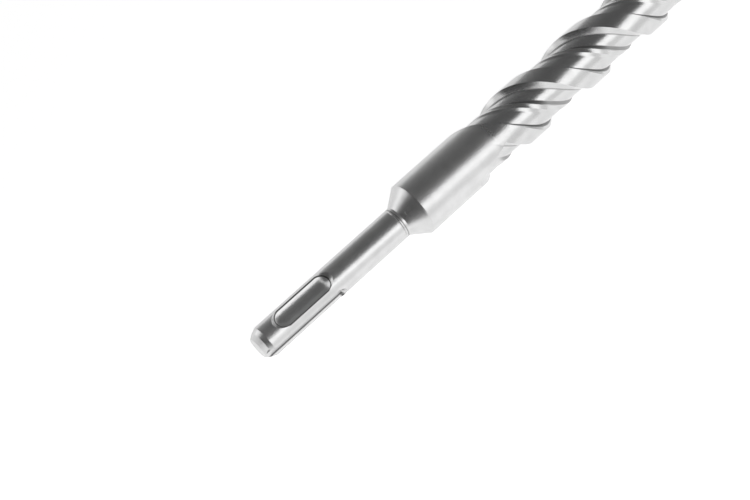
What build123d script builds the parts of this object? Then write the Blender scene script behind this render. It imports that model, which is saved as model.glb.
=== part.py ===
from build123d import *
import math
import os

os.makedirs("parts", exist_ok=True)

# All sizes are millimetres. The bit lies along X, with the striking end at x = 0 and the point
# at the far +X end. The axis is y = 0, z = 0, and one closed locking groove faces +Z.
overall_length = 200.0
shank_radius = 5.0
shank_length = 54.9

# The struck end: a small flat face, a short nose behind it, and a slim chamfer up to the shank.
face_radius = 3.3
nose_radius = 4.3
nose_length = 1.5
end_chamfer_length = 1.4

# Closed locking grooves, one above and one below.
lock_start = 7.7
lock_length = 19.6
lock_width = 5.9
lock_ledge_radius = 4.0
lock_floor_radius = 3.1
lock_floor_hollow = 7.0
lock_ledge_slope = 46.0
lock_wall_slope = 12.0

# Open drive slots, one at each side, milled in from the striking end.
slot_length = 28.8
slot_width = 3.9
slot_floor_radius = 3.5
slot_wall_slope = 28.0

# Score line round the neck, and the cone and plain collar behind the flutes.
neck_line_back = 1.6
neck_line_width = 0.4
neck_line_depth = 0.2
cone_length = 5.45
collar_radius = 8.85
collar_edge = 0.25

# Round test mark pressed into the cone.
dimple_up_cone = 1.7
dimple_width = 1.3
dimple_depth = 0.2
dimple_angle = 108.0

# Two-start right-hand flutes. Rolling them has swelled the bar past the collar's size. Each half
# turn of the section goes from the land's front edge down a steep wall to the first channel,
# over a low rib, through the second channel and up the flank to the next land. Shares are parts
# of half a turn.
flute_lead = 53.6
swell_start = 87.9
swell_length = 11.0
land_radius = 9.1
channel_radius = 7.4
rib_radius = 7.65
gully_radius = 7.0
gully_end_radius = 7.2
wall_share = 0.03
channel_share = 0.227
rib_step_share = 0.055
rib_share = 0.071
rib_fall_share = 0.074
gully_share = 0.206
flank_share = 0.072
land_edge_x = 97.3
land_edge_angle = 119.3

# Where each flute runs out on the collar: a slanting ramp is left across it, deeper than the
# flute and broader. The skew turns the ramp's upper edge away from the cross-section, and the
# lean tips its face away from the radius.
run_out_x = 86.8
run_out_angle = 330.0
run_out_skew = 68.0
run_out_lean = 45.0
run_out_depth = 6.0
run_out_breadth = 30.0

# Head: the flutes run straight here, and a carbide plate sits in a slot across the end.
head_length = 11.0
point_angle = 130.0
plate_width = 20.2
plate_thickness = 3.8
plate_height = 8.5
plate_rise = 0.9
plate_relief = 24.0
plate_corner = 0.8
braze_gap = 0.05

half_turn = 180.0
quarter_turn = 90.0
# Overlap that lets a cutting shape start clear of the surface it cuts.
clear = 1.0

neck_end = shank_length
cone_end = neck_end + cone_length
point_slope = math.tan(math.radians(quarter_turn - point_angle / 2))
plate_point_drop = plate_width / 2 * point_slope
body_end = overall_length - plate_rise
head_start = body_end - plate_point_drop - head_length
run_out_reach = collar_radius * math.tan(math.radians(run_out_skew))
flute_start = run_out_x - run_out_reach
cut_share = (
    wall_share + channel_share + rib_step_share + rib_share + rib_fall_share + gully_share + flank_share
)
land_share = 1 - cut_share


def on_circle(radius, degrees):
    """A point of the cross-section, its angle turning from +Y towards +Z."""
    angle = math.radians(degrees)
    return (radius * math.cos(angle), radius * math.sin(angle))


def twist_at(x):
    """How far the section has turned at x, from the place where the land's edge is given."""
    return 2 * half_turn * (x - land_edge_x) / flute_lead


def turned_blank():
    """Shank, neck, cone and the bar that the flutes are cut in, turned about X."""
    line_x = neck_end - neck_line_back
    shank_start = nose_length + end_chamfer_length
    swell_end = swell_start + swell_length
    point_x = body_end - land_radius * point_slope
    with BuildSketch(Plane.XY) as profile:
        with BuildLine():
            Polyline(
                (0, 0),
                (0, face_radius),
                (nose_length, nose_radius),
                (shank_start, shank_radius),
                (line_x - neck_line_width / 2, shank_radius),
                (line_x, shank_radius - neck_line_depth),
                (line_x + neck_line_width / 2, shank_radius),
                (neck_end, shank_radius),
                (cone_end - collar_edge, collar_radius - collar_edge),
                (cone_end, collar_radius),
                (swell_start, collar_radius),
                (swell_end, land_radius),
                (point_x, land_radius),
                (body_end, 0),
                close=True,
            )
        make_face()
    return revolve(profile.sketch, Axis.X)


def locking_groove(angle):
    """Oval pocket: a sloping rim down to a ledge line, a steep wall, and a gently hollow floor."""
    middle = lock_start + lock_length / 2
    ledge = Plane((middle, 0, lock_ledge_radius), x_dir=(1, 0, 0), z_dir=(0, 0, 1))
    rim_outline = ledge * SlotOverall(lock_length, lock_width)
    rim = extrude(rim_outline, shank_radius - lock_ledge_radius + clear, taper=-lock_ledge_slope)
    pocket_outline = ledge * SlotOverall(lock_length, lock_width)
    walls = extrude(pocket_outline, -lock_ledge_radius / 2, taper=lock_wall_slope)
    hollow = Pos(middle, 0, lock_floor_radius + lock_floor_hollow) * round_ended_bar(
        lock_floor_hollow, lock_length - lock_width
    )
    return Rot(X=angle) * (rim + (walls & hollow))


def round_ended_bar(radius, length):
    """Bar along X with ball ends, their centres this length apart."""
    bar = Rot(Y=quarter_turn) * Cylinder(radius, length)
    for end in (-length / 2, length / 2):
        bar = bar + Pos(end, 0, 0) * Sphere(radius)
    return bar


def drive_slot(angle):
    """Open slot from the striking end, with a round end and walls that lean outwards."""
    length = slot_length + 2 * clear
    floor = Plane((slot_length - length / 2, 0, slot_floor_radius), x_dir=(1, 0, 0), z_dir=(0, 0, 1))
    rise = shank_radius - slot_floor_radius + clear
    outline = SlotOverall(length, slot_width)
    square_end = Pos(-length / 4) * Rectangle(length / 2, slot_width)
    return Rot(X=angle) * extrude(floor * (outline + square_end), rise, taper=-slot_wall_slope)


def test_dimple():
    """Round mark on the cone, square to its surface."""
    slope = math.atan2(collar_radius - shank_radius, cone_length)
    height = dimple_depth + clear
    mark = Pos(0, 0, height / 2 - dimple_depth) * Cylinder(dimple_width / 2, height)
    surface_radius = shank_radius + dimple_up_cone * math.tan(slope)
    placed = Pos(neck_end + dimple_up_cone, 0, surface_radius) * Rot(Y=-math.degrees(slope)) * mark
    return Rot(X=dimple_angle - quarter_turn) * placed


def beyond(foot, edge):
    """A point on the line from foot through edge, clear of the bar."""
    reach = clear / math.dist(foot, edge)
    return tuple(e + reach * (e - f) for f, e in zip(foot, edge))


def flute_section():
    """What is cut away between two lands, where the land's edge is at its stated angle."""
    at = land_edge_angle

    def down(share, radius):
        nonlocal at
        at -= half_turn * share
        return on_circle(radius, at)

    land_edge = on_circle(land_radius, at)
    wall_foot = down(wall_share, channel_radius)
    channel_middle = down(channel_share / 2, channel_radius)
    channel_end = down(channel_share / 2, channel_radius)
    rib_start = down(rib_step_share, rib_radius)
    rib_end = down(rib_share, rib_radius)
    gully_start = down(rib_fall_share, gully_radius)
    gully_middle = down(gully_share / 2, (gully_radius + gully_end_radius) / 2)
    gully_end = down(gully_share / 2, gully_end_radius)
    next_land = down(flank_share, land_radius)
    outer_start = beyond(wall_foot, land_edge)
    outer_end = beyond(gully_end, next_land)
    outer_middle = on_circle(land_radius + 2 * clear, (at + land_edge_angle) / 2)
    with BuildSketch() as section:
        with BuildLine():
            Line(outer_start, wall_foot)
            ThreePointArc(wall_foot, channel_middle, channel_end)
            Polyline(channel_end, rib_start, rib_end, gully_start)
            ThreePointArc(gully_start, gully_middle, gully_end)
            Line(gully_end, outer_end)
            ThreePointArc(outer_end, outer_middle, outer_start)
        make_face()
    return section.sketch


def section_at(x):
    """The cut section standing across the axis at x, turned as the flutes are there."""
    across = Plane((x, 0, 0), x_dir=(0, 1, 0), z_dir=(1, 0, 0))
    return across * Rot(Z=twist_at(x)) * flute_section()


def run_out_side():
    """The side of the run-out where the flute is cut, less the ramp that is left on the collar."""
    far = 4 * overall_length
    cut_side = Box(far, far, far, align=(Align.MIN, Align.CENTER, Align.CENTER))
    ramp_foot = run_out_depth * math.tan(math.radians(run_out_lean))
    with BuildSketch(Plane.XZ) as side:
        with BuildLine():
            Polyline(
                (0, collar_radius),
                (0, collar_radius - run_out_depth),
                (ramp_foot, collar_radius - run_out_depth),
                close=True,
            )
        make_face()
    ramp = extrude(side.sketch, run_out_breadth / 2, both=True)
    placed = Rot(X=run_out_angle - quarter_turn) * Pos(run_out_x, 0, 0) * Rot(Z=-run_out_skew)
    return placed * (cut_side - ramp)


def flute():
    """One flute: twisted along the bar, straight through the head, and run out on the collar."""
    path = Line((flute_start, 0, 0), (head_start, 0, 0))
    guide = Helix(flute_lead, head_start - flute_start, collar_radius, (flute_start, 0, 0), (1, 0, 0))
    twisted = sweep(section_at(flute_start), path=path, binormal=guide)
    straight = extrude(section_at(head_start), overall_length - head_start)
    return (twisted + straight) & run_out_side()


def plate_angle():
    """The plate lies through the middles of the two lands."""
    return land_edge_angle + half_turn * land_share / 2 + twist_at(head_start)


def plate_slot():
    """Slot across the head, wider than the plate by the braze on each side."""
    width = plate_thickness + 2 * braze_gap
    seat_x = overall_length - plate_height
    slot = Box(plate_height + clear, 2 * plate_width, width, align=(Align.MIN, Align.CENTER, Align.CENTER))
    return Rot(X=plate_angle()) * Pos(seat_x, 0, 0) * slot


def carbide_plate():
    """Roof-shaped plate. Each half has its own cutting edge, with relief behind it."""
    seat_x = overall_length - plate_height
    shoulder_x = overall_length - plate_point_drop
    half_width = plate_width / 2
    with BuildSketch(Plane.XY) as outline:
        with BuildLine():
            Polyline(
                (seat_x, -half_width + plate_corner),
                (seat_x + plate_corner, -half_width),
                (shoulder_x, -half_width),
                (overall_length, 0),
                (shoulder_x, half_width),
                (seat_x + plate_corner, half_width),
                (seat_x, half_width - plate_corner),
                close=True,
            )
        make_face()
    plate = extrude(outline.sketch, plate_thickness / 2, both=True)
    for turn in (0, half_turn):
        plate = plate - Rot(X=turn) * relief_wedge()
    return Rot(X=plate_angle()) * plate


def relief_wedge():
    """What grinding takes from behind one cutting edge, which is on the plate's upper face."""
    drop = plate_thickness * math.tan(math.radians(plate_relief))
    edge_z = plate_thickness / 2
    outside = drop + clear
    with BuildSketch(Plane.XZ) as side:
        with BuildLine():
            Polyline((0, edge_z), (-drop, -edge_z), (outside, -edge_z), (outside, edge_z), close=True)
        make_face()
    wedge = extrude(side.sketch, -2 * plate_width)
    return Pos(overall_length, 0, 0) * Rot(Z=quarter_turn - point_angle / 2) * wedge


def drill_body():
    body = turned_blank()
    for angle in (0, half_turn):
        body = body - locking_groove(angle)
    for angle in (quarter_turn, -quarter_turn):
        body = body - drive_slot(angle)
    body = body - test_dimple()
    cut = flute()
    for angle in (0, half_turn):
        body = body - Rot(X=angle) * cut
    return body - plate_slot()


export_step(drill_body(), "parts/drill_body.step")
export_step(carbide_plate(), "parts/carbide_plate.step")
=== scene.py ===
import math

import bpy
from mathutils import Matrix, Vector


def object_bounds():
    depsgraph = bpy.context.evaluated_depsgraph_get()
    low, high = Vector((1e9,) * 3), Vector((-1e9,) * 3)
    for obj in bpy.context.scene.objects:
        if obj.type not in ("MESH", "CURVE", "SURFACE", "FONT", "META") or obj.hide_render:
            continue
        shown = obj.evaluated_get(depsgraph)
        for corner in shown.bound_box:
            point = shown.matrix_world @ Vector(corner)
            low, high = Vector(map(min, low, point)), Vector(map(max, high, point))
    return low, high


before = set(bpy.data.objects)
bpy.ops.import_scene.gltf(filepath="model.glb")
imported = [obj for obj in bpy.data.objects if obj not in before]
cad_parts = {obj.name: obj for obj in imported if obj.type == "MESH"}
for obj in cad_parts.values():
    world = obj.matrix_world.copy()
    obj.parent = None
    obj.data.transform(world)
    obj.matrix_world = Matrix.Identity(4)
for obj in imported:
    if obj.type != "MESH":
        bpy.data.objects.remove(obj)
cad_low, cad_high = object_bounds()

# The view of the photograph, worked out from the shank's and collar's edges. Places are metres
# in the bit's own frame; the photograph is 750 pixels wide.
photo_width = 750
focal_pixels = 1372
sensor_width = 36.0
nearest_seen = 0.01
farthest_seen = 50.0
view_right = Vector((0.7144, -0.6970, -0.0607))
view_up = Vector((0.6432, 0.6198, 0.4493))
view_forward = Vector((0.2756, 0.3601, -0.8913))
shank_point = Vector((0.0439, 0.0, 0.0))
shank_point_seen = Vector((-0.00097, 0.00105, 0.391))

# Room: a pale table in a white room and a long soft lamp on the near side. The far card draws
# the dark band down the steel, the end card darkens the cone and the nose, and the pale panel
# lights their far sides. Angles are about the bit, from +Y towards +Z, and a card's fade runs over
# shares of its breadth from its middle.
table_size = 8.0
table_grey = 0.82
# The table's glow is dimmer on the far side: painted shade where the bit's shadow falls, seen in the steel.
table_glow_lamp_side = 0.93
table_glow_far_side_shaded = 0.61
table_fade = 0.06
room_light = 0.4
room_seen = 1.0
card_fade = (-0.05, 0.45)
far_card_grey = 0.125
far_card_low_grey = 0.38
far_card_angles = (-4.0, 118.0)
far_card_distance = 0.9
far_card_x = (-0.2, 2.6)
end_card_grey = 0.07
end_card_x = -0.9
end_card_y = (-1.25, 0.8)
end_card_z = (-0.05, 1.8)
pale_panel_glow = 1.6
pale_panel_x = (-1.0, -0.2)
pale_panel_y = 0.9
pale_panel_z = (0.02, 0.42)
lamp_angles = (118.0, 150.0)
lamp_distance = 0.8
lamp_x = (-0.3, 1.3)
lamp_power = 1.7

# The bit's own places, in metres and degrees. Flute places are shares of half a turn from the
# land's front edge, and a wall's corner reaches from before the wall to past it.
flute_lead = 0.0536
flute_begins = 0.088
land_edge_x = 0.0973
land_edge_angle = 119.3
land_radius = 0.0091
land_edge_wear = (0.0003, 0.00005)
wall_corner = (0.02, 0.036)
rib_fall = (0.4, 0.45)
gully_corner = (0.655, 0.67)
head_start = 0.1834
head_cone = 0.1942
plate_from = 0.1912
plate_angle = 143.15
braze_half_width = 0.00212
groove_middle = 0.0175
groove_straight = 0.00685
groove_half_width = 0.00295
groove_flat = 0.0006
ledge_height = 0.004
ledge_corner = (-0.0002, 0.0001)
nose_end = 0.0015
slot_floor = 0.0035
slot_corner = (-0.0001, 0.00015)
slot_corner_height = (0.0016, 0.0021)
slot_end = 0.0300
neck_line = 0.0540
neck_line_half_width = 0.0001
turned_from = 0.0531
cone_end = 0.0604
blasted_to = 0.096

# How soft the finishes' and the painted shade's edges are, in metres, and in shares of half a turn round the
# flutes.
flute_fade = 0.004
cone_fade = 0.0004
turned_fade = 0.0003
corner_fade = 0.0001
neck_line_fade = 0.00008
braze_fade = 0.00004
slot_wall_fade = 0.0006
flute_corner_fade = 0.007

# Patterns, to the metre, and the relief that they make. Noise lies mostly in noise_range. The
# depths of dents, blasting and the neck's line are in times of relief_depth, and the grooves'
# floors rise with the square of the way from their middle.
noise_range = (0.3, 0.7)
grain_scale = 2600
line_scale = 3800
line_stretch = 0.03
mottle_scale = 240
dent_scale = 1500
wheel_scale = 7600
wheel_stretch = (0.03, 1, 0.3)
relief_depth = 0.00002
dent_depth = 2.5
blasted_depth = 1.6
neck_line_depth = 4
flute_line_share = 0.8
groove_floor_rise = 70
nose_flattening = 0.5

# Greys and roughness, and how much of the steel's grey each dark mark takes away: painted shade in the
# corners, slots and the neck's line, and the braze seam.
steel_grey = 0.61
steel_mottle = 0.04
steel_roughness = 0.32
grain_roughness = 0.02
shade_and_braze_roughness = 0.2
flute_polish = 0.07
flute_tone = 0.92
carbide_grey = (0.33, 0.41)
carbide_roughness = (0.34, 0.44)
wall_corner_shade = 0.7
rib_fall_shade = 0.5
gully_corner_shade = 0.35
ledge_shade = 0.8
slot_shade = 0.65
neck_line_shade = 0.5
braze_dark = 0.4


def look_at_bit():
    """The camera, placed so that one point of the shank's axis is seen where the photo has it."""
    right, up, forward = view_right, view_up, view_forward
    seen = shank_point_seen
    data = bpy.data.cameras.new("photo_view")
    data.sensor_width = sensor_width
    data.lens = focal_pixels / photo_width * sensor_width
    data.clip_start = nearest_seen
    data.clip_end = farthest_seen
    camera = bpy.data.objects.new("photo_view", data)
    bpy.context.scene.collection.objects.link(camera)
    place = shank_point - seen.x * right - seen.y * up - seen.z * forward
    turn = Matrix((right, up, -forward)).transposed().to_4x4()
    camera.matrix_world = Matrix.Translation(place) @ turn
    bpy.context.scene.camera = camera


def nodes_of(material):
    """The material's node tree, emptied."""
    material.use_nodes = True
    tree = material.node_tree
    tree.nodes.clear()
    return tree


def add_node(tree, kind, values=(), **settings):
    """A node with its settings made, and its first inputs set or linked."""
    node = tree.nodes.new("ShaderNode" + kind)
    for name, value in settings.items():
        setattr(node, name, value)
    for socket, value in zip(node.inputs, values):
        if isinstance(value, bpy.types.NodeSocket):
            tree.links.new(value, socket)
        elif value is not None:
            socket.default_value = value
    return node


def maths(tree, operation, *values):
    return add_node(tree, "Math", values, operation=operation).outputs[0]


def darkest(tree, *marks):
    """The strongest of several dark marks."""
    most = marks[0]
    for mark in marks[1:]:
        most = maths(tree, "MAXIMUM", most, mark)
    return most


def ramp(tree, value, low, high, at_low, at_high):
    """A smooth change from one number to another while the value goes from low to high."""
    values = (value, low, high, at_low, at_high)
    return add_node(tree, "MapRange", values, interpolation_type="SMOOTHSTEP").outputs[0]


def between(tree, value, low, high, soft):
    """One where the value lies in this range, and none beyond a soft edge at each side."""
    rise = ramp(tree, value, low - soft, low, 0, 1)
    fall = ramp(tree, value, high, high + soft, 1, 0)
    return maths(tree, "MULTIPLY", rise, fall)


def length(tree, along, side, height):
    """How long a line is that goes this far along each axis."""
    line = add_node(tree, "CombineXYZ", (along, side, height)).outputs[0]
    return add_node(tree, "VectorMath", (line,), operation="LENGTH").outputs["Value"]


def mix(tree, share, first, second):
    """The first number where the share is none, and the second where it is one."""
    return add_node(tree, "Mix", (share, None, first, second), data_type="FLOAT").outputs[0]


def noise(tree, place, scale, detail):
    values = (place, None, scale, detail)
    return add_node(tree, "TexNoise", values).outputs[0]


def stretched(tree, place, stretch):
    """Places drawn out along the axes with a small stretch, so that noise there becomes lines."""
    return add_node(tree, "Mapping", (place, None, None, stretch)).outputs[0]


def seen_rays(tree):
    """One for what the camera, metal or glass sees, and none for what only lights."""
    rays = add_node(tree, "LightPath").outputs
    total = maths(tree, "ADD", rays["Is Camera Ray"], rays["Is Glossy Ray"])
    total = maths(tree, "ADD", total, rays["Is Transmission Ray"])
    return maths(tree, "MINIMUM", total, 1)


def table_material():
    """Pale table top that shows as white to the eye and in metal, and still takes a shadow. Its glow is
    dimmer on the far side, a painted shade of the bit's shadow there as the steel sees it.
    """
    material = bpy.data.materials.new("pale_table")
    tree = nodes_of(material)
    top = add_node(tree, "BsdfDiffuse", ((table_grey, table_grey, table_grey, 1),))
    place = add_node(tree, "TexCoord").outputs["Object"]
    side = add_node(tree, "SeparateXYZ", (place,)).outputs["Y"]
    level = ramp(tree, side, -table_fade, table_fade, table_glow_lamp_side, table_glow_far_side_shaded)
    strength = maths(tree, "MULTIPLY", seen_rays(tree), level)
    glow = add_node(tree, "Emission", ((1, 1, 1, 1), strength))
    both = add_node(tree, "AddShader", (top.outputs[0], glow.outputs[0]))
    add_node(tree, "OutputMaterial", (both.outputs[0],))
    return material


def table():
    """The table top, just touching the bit where it lies."""
    bpy.ops.object.select_all(action="DESELECT")
    bpy.ops.mesh.primitive_plane_add(size=table_size, location=(0, 0, cad_low.z))
    top = bpy.context.object
    top.name = "table_top"
    top.data.materials.append(table_material())


def room():
    """White walls as the eye and the metal see them, a little dimmer as a light."""
    world = bpy.data.worlds.new("room")
    bpy.context.scene.world = world
    world.use_nodes = True
    tree = world.node_tree
    background = tree.nodes["Background"]
    background.inputs["Color"].default_value = (1, 1, 1, 1)
    strength = ramp(tree, seen_rays(tree), 0, 1, room_light, room_seen)
    tree.links.new(strength, background.inputs["Strength"])


def facing_bit(angles, distance, ends):
    """Where a panel stands that fills these angles about the bit, with its length and breadth."""
    middle = math.radians(sum(angles) / 2)
    half = math.radians((angles[1] - angles[0]) / 2)
    back = Vector((0, math.cos(middle), math.sin(middle)))
    along = Vector((1, 0, 0))
    turn = Matrix((along, back.cross(along), back)).transposed().to_4x4()
    centre = Vector((sum(ends) / 2, 0, 0)) + distance * back
    return Matrix.Translation(centre) @ turn, ends[1] - ends[0], 2 * distance * math.tan(half)


def upright(along, middle):
    """The place of an upright card, its length along this direction and its breadth downwards."""
    down = Vector((0, 0, -1))
    turn = Matrix((along, down, along.cross(down))).transposed().to_4x4()
    return Matrix.Translation(middle) @ turn


def side_lamp():
    data = bpy.data.lights.new("side_softbox", "AREA")
    data.shape = "RECTANGLE"
    place, data.size, data.size_y = facing_bit(lamp_angles, lamp_distance, lamp_x)
    data.energy = lamp_power
    light = bpy.data.objects.new("side_softbox", data)
    light.matrix_world = place
    light.visible_camera = False
    bpy.context.scene.collection.objects.link(light)


def card_material(name, grey, low_grey):
    """A card this grey, and another grey towards its lower edge."""
    material = bpy.data.materials.new(name)
    tree = nodes_of(material)
    place = add_node(tree, "TexCoord").outputs["Object"]
    down = add_node(tree, "SeparateXYZ", (place,)).outputs["Y"]
    strength = ramp(tree, down, *card_fade, grey, low_grey)
    glow = add_node(tree, "Emission", ((1, 1, 1, 1), strength))
    add_node(tree, "OutputMaterial", (glow.outputs[0],))
    return material


def card(name, place, long, broad, grey, low_grey):
    """A card that only shows as a reflection in the steel."""
    bpy.ops.object.select_all(action="DESELECT")
    bpy.ops.mesh.primitive_plane_add(size=1)
    panel = bpy.context.object
    panel.name = name
    panel.matrix_world = place @ Matrix.Diagonal((long, broad, 1, 1))
    panel.data.materials.append(card_material(name, grey, low_grey))
    panel.visible_camera = False
    panel.visible_shadow = False
    panel.visible_diffuse = False


def far_card():
    """The dark card over the far side of the bit."""
    place = facing_bit(far_card_angles, far_card_distance, far_card_x)
    card("far_card", *place, far_card_grey, far_card_low_grey)


def end_card():
    """The darker card that stands beyond the striking end."""
    middle = Vector((end_card_x, sum(end_card_y) / 2, sum(end_card_z) / 2))
    place = upright(Vector((0, 1, 0)), middle)
    long = end_card_y[1] - end_card_y[0]
    broad = end_card_z[1] - end_card_z[0]
    card("end_card", place, long, broad, end_card_grey, end_card_grey)


def pale_panel():
    """The bright panel in the gap between the two dark cards."""
    middle = Vector((sum(pale_panel_x) / 2, pale_panel_y, sum(pale_panel_z) / 2))
    place = upright(Vector((1, 0, 0)), middle)
    long = pale_panel_x[1] - pale_panel_x[0]
    broad = pale_panel_z[1] - pale_panel_z[0]
    card("pale_panel", place, long, broad, pale_panel_glow, pale_panel_glow)


def metal_shader(tree, grey, roughness, relief, shape=None):
    """Metal with this grey and roughness, a fine relief, and a larger shape given in metres."""
    fine = add_node(tree, "Bump")
    fine.inputs["Distance"].default_value = relief_depth
    tree.links.new(relief, fine.inputs["Height"])
    if shape is not None:
        large = add_node(tree, "Bump")
        large.inputs["Distance"].default_value = 1.0
        tree.links.new(shape, large.inputs["Height"])
        tree.links.new(large.outputs["Normal"], fine.inputs["Normal"])
    metal = add_node(tree, "BsdfPrincipled")
    metal.inputs["Metallic"].default_value = 1.0
    colour = add_node(tree, "CombineColor", (grey, grey, grey)).outputs[0]
    tree.links.new(colour, metal.inputs["Base Color"])
    tree.links.new(roughness, metal.inputs["Roughness"])
    tree.links.new(fine.outputs["Normal"], metal.inputs["Normal"])
    add_node(tree, "OutputMaterial", (metal.outputs[0],))


def along_flutes(tree, place, along):
    """Places turned back by the twist, so that each flute stays where it is at the land's edge."""
    from_edge = maths(tree, "SUBTRACT", maths(tree, "MINIMUM", along, head_start), land_edge_x)
    turn = maths(tree, "MULTIPLY", from_edge, -2 * math.pi / flute_lead)
    return add_node(tree, "VectorRotate", (place, None, None, turn), rotation_type="X_AXIS").outputs[0]


def from_groove_line(tree, along, side):
    """How far a place is from the straight line down the middle of its locking groove."""
    past_end = maths(tree, "ABSOLUTE", maths(tree, "SUBTRACT", along, groove_middle))
    past_end = maths(tree, "MAXIMUM", maths(tree, "SUBTRACT", past_end, groove_straight), 0)
    return length(tree, past_end, side, 0)


class PlacesOnBit:
    """Where a point of the steel lies on the bit, as sockets of one material's node tree."""

    def __init__(self, tree):
        self.place = add_node(tree, "TexCoord").outputs["Object"]
        self.along, self.side, self.height = add_node(tree, "SeparateXYZ", (self.place,)).outputs
        self.untwisted = along_flutes(tree, self.place, self.along)
        self.from_groove = from_groove_line(tree, self.along, self.side)
        radius = length(tree, 0, self.side, self.height)
        wear_from, wear_to = land_edge_wear
        self.below_land = ramp(tree, radius, land_radius - wear_from, land_radius - wear_to, 1, 0)
        self.fluted = ramp(tree, self.along, flute_begins, flute_begins + flute_fade, 0, 1)
        line_from, line_to = neck_line - neck_line_half_width, neck_line + neck_line_half_width
        self.neck_line = between(tree, self.along, line_from, line_to, neck_line_fade)
        self.grain = noise(tree, self.place, grain_scale, detail=3)


def worn_shape(tree, at):
    """The groove's floor curving up to its wall, and the hammered nose, as a height in metres."""
    nose = maths(tree, "MULTIPLY", maths(tree, "MINIMUM", at.along, nose_end), nose_flattening)
    inside = maths(tree, "MINIMUM", at.from_groove, groove_half_width)
    rise = maths(tree, "MAXIMUM", maths(tree, "SUBTRACT", inside, groove_flat), 0)
    curve = maths(tree, "MULTIPLY", maths(tree, "MULTIPLY", rise, rise), groove_floor_rise)
    return maths(tree, "ADD", curve, nose)


def machining_lines(tree, at, in_flute):
    """Lines turned round the cone and neck, and lines drawn along the flutes."""
    round_bit = stretched(tree, at.place, (1, line_stretch, line_stretch))
    down_flute = stretched(tree, at.untwisted, (line_stretch, 1, 1))
    rings = noise(tree, round_bit, line_scale, detail=2)
    helical = noise(tree, down_flute, line_scale, detail=2)
    return mix(tree, in_flute, rings, helical)


def blasted_grain(tree, at):
    """The grain of the steel, coarser on the blasted collar."""
    blasted = between(tree, at.along, cone_end, blasted_to, turned_fade)
    return maths(tree, "MULTIPLY", at.grain, ramp(tree, blasted, 0, 1, 1, blasted_depth))


def hammer_dents(tree, at):
    """The dents on the struck nose."""
    struck = ramp(tree, at.along, nose_end / 2, nose_end, dent_depth, 0)
    return maths(tree, "MULTIPLY", noise(tree, at.place, dent_scale, detail=1), struck)


def steel_relief(tree, at):
    """Blasted grain, machining lines, the neck's second turned line, and the hammer's dents."""
    in_flute = maths(tree, "MULTIPLY", at.fluted, at.below_land)
    turned = between(tree, at.along, turned_from, cone_end, turned_fade)
    lines = machining_lines(tree, at, in_flute)
    line_share = maths(tree, "MAXIMUM", maths(tree, "MULTIPLY", in_flute, flute_line_share), turned)
    relief = mix(tree, line_share, blasted_grain(tree, at), lines)
    relief = maths(tree, "SUBTRACT", relief, maths(tree, "MULTIPLY", at.neck_line, neck_line_depth))
    return maths(tree, "ADD", relief, hammer_dents(tree, at))


def groove_corner_shade(tree, at):
    """Painted shade along the foot of the locking grooves' walls."""
    low, high = (groove_half_width + step for step in ledge_corner)
    corner = between(tree, at.from_groove, low, high, corner_fade)
    height = maths(tree, "ABSOLUTE", at.height)
    in_groove = ramp(tree, height, ledge_height, ledge_height + corner_fade, ledge_shade, 0)
    return maths(tree, "MULTIPLY", corner, in_groove)


def drive_slot_corner_shade(tree, at):
    """Painted shade along the foot of the drive slots' walls."""
    low, high = (slot_floor + step for step in slot_corner)
    corner = between(tree, maths(tree, "ABSOLUTE", at.side), low, high, corner_fade)
    in_slot = ramp(tree, at.along, slot_end, slot_end + corner_fade, slot_shade, 0)
    height = maths(tree, "ABSOLUTE", at.height)
    by_wall = between(tree, height, *slot_corner_height, slot_wall_fade)
    return maths(tree, "MULTIPLY", maths(tree, "MULTIPLY", corner, in_slot), by_wall)


def share_of_flute(tree, at):
    """Where a place lies in its half turn of the section, as a share from the land's front edge."""
    side, height = add_node(tree, "SeparateXYZ", (at.untwisted,)).outputs[1:]
    angle = maths(tree, "ARCTAN2", height, side)
    past_edge = maths(tree, "SUBTRACT", math.radians(land_edge_angle), angle)
    return maths(tree, "FRACT", maths(tree, "DIVIDE", past_edge, math.pi))


def flute_corner_shade(tree, at):
    """Painted shade in the corners of the flutes, below the lands and short of the head's cone."""
    share = share_of_flute(tree, at)
    corners = ((wall_corner, wall_corner_shade), (rib_fall, rib_fall_shade), (gully_corner, gully_corner_shade))
    marks = []
    for (low, high), depth in corners:
        mark = between(tree, share, low, high, flute_corner_fade)
        marks.append(maths(tree, "MULTIPLY", mark, depth))
    short_of_cone = ramp(tree, at.along, head_cone, head_cone + cone_fade, 1, 0)
    in_corner = maths(tree, "MULTIPLY", at.below_land, short_of_cone)
    return maths(tree, "MULTIPLY", darkest(tree, *marks), maths(tree, "MULTIPLY", at.fluted, in_corner))


def braze_seam(tree, at):
    """The seam of braze beside the carbide plate, given where the flutes are turned back."""
    side, height = add_node(tree, "SeparateXYZ", (at.untwisted,)).outputs[1:]
    turn = math.radians(plate_angle)
    up_part = maths(tree, "MULTIPLY", height, math.cos(turn))
    side_part = maths(tree, "MULTIPLY", side, math.sin(turn))
    off_plate = maths(tree, "SUBTRACT", up_part, side_part)
    near = between(tree, off_plate, -braze_half_width, braze_half_width, braze_fade)
    by_plate = ramp(tree, at.along, plate_from, plate_from + corner_fade, 0, braze_dark)
    return maths(tree, "MULTIPLY", near, by_plate)


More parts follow.
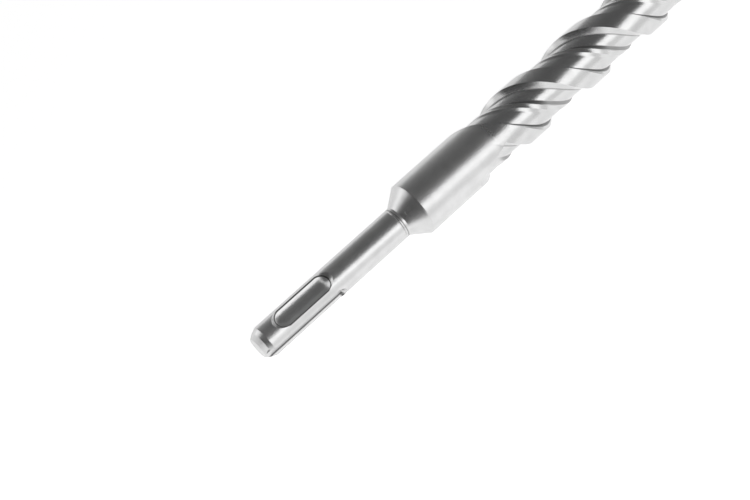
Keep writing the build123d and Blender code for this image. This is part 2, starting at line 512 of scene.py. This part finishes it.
def steel_shade_and_braze(tree, at):
    """All the dark marks on the steel, as a share of its grey that each takes away: painted shade in the
    corners, slots and the neck's line, and the braze seam.
    """
    # The neck's turned line is darkened here as painted shade in its crease.
    line_shade = maths(tree, "MULTIPLY", at.neck_line, neck_line_shade)
    shank_marks = (groove_corner_shade(tree, at), drive_slot_corner_shade(tree, at), line_shade)
    return darkest(tree, *shank_marks, flute_corner_shade(tree, at), braze_seam(tree, at))


def steel_tone(tree, at, shade_and_braze):
    """The steel's grey: a faint mottle, a darker tone in the flutes, and the painted shade and braze seam.
    """
    mottle = noise(tree, at.place, mottle_scale, detail=4)
    low, high = (1 - steel_mottle) * steel_grey, (1 + steel_mottle) * steel_grey
    clean = ramp(tree, mottle, *noise_range, low, high)
    clean = maths(tree, "MULTIPLY", clean, ramp(tree, at.fluted, 0, 1, 1, flute_tone))
    return maths(tree, "MULTIPLY", clean, maths(tree, "SUBTRACT", 1, shade_and_braze))


def steel_sheen(tree, at, shade_and_braze):
    """The steel's roughness: a little from the grain, more in the painted shade and braze seam, and less in
    the flutes.
    """
    low, high = steel_roughness - grain_roughness, steel_roughness + grain_roughness
    roughness = ramp(tree, at.grain, *noise_range, low, high)
    roughness = maths(tree, "ADD", roughness, maths(tree, "MULTIPLY", shade_and_braze, shade_and_braze_roughness))
    return maths(tree, "SUBTRACT", roughness, maths(tree, "MULTIPLY", at.fluted, flute_polish))


def steel_material():
    """Satin steel with its machining marks, wear, braze seam and painted shade in its corners."""
    material = bpy.data.materials.new("satin_steel")
    tree = nodes_of(material)
    at = PlacesOnBit(tree)
    shade_and_braze = steel_shade_and_braze(tree, at)
    grey = steel_tone(tree, at, shade_and_braze)
    roughness = steel_sheen(tree, at, shade_and_braze)
    metal_shader(tree, grey, roughness, steel_relief(tree, at), worn_shape(tree, at))
    return material


def carbide_material():
    """Carbide with the fine marks of its grinding wheel."""
    material = bpy.data.materials.new("ground_carbide")
    tree = nodes_of(material)
    place = add_node(tree, "TexCoord").outputs["Object"]
    marks = noise(tree, stretched(tree, place, wheel_stretch), wheel_scale, detail=2)
    grey = ramp(tree, marks, *noise_range, *carbide_grey)
    roughness = ramp(tree, marks, *noise_range, *carbide_roughness)
    metal_shader(tree, grey, roughness, marks)
    return material


def dress(node, material):
    """Gives a CAD node its finish."""
    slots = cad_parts[node].data.materials
    slots.clear()
    slots.append(material)


look_at_bit()
table()
room()
side_lamp()
far_card()
end_card()
pale_panel()
dress("drill_body", steel_material())
dress("carbide_plate", carbide_material())

bpy.context.scene.view_settings.view_transform = "Standard"
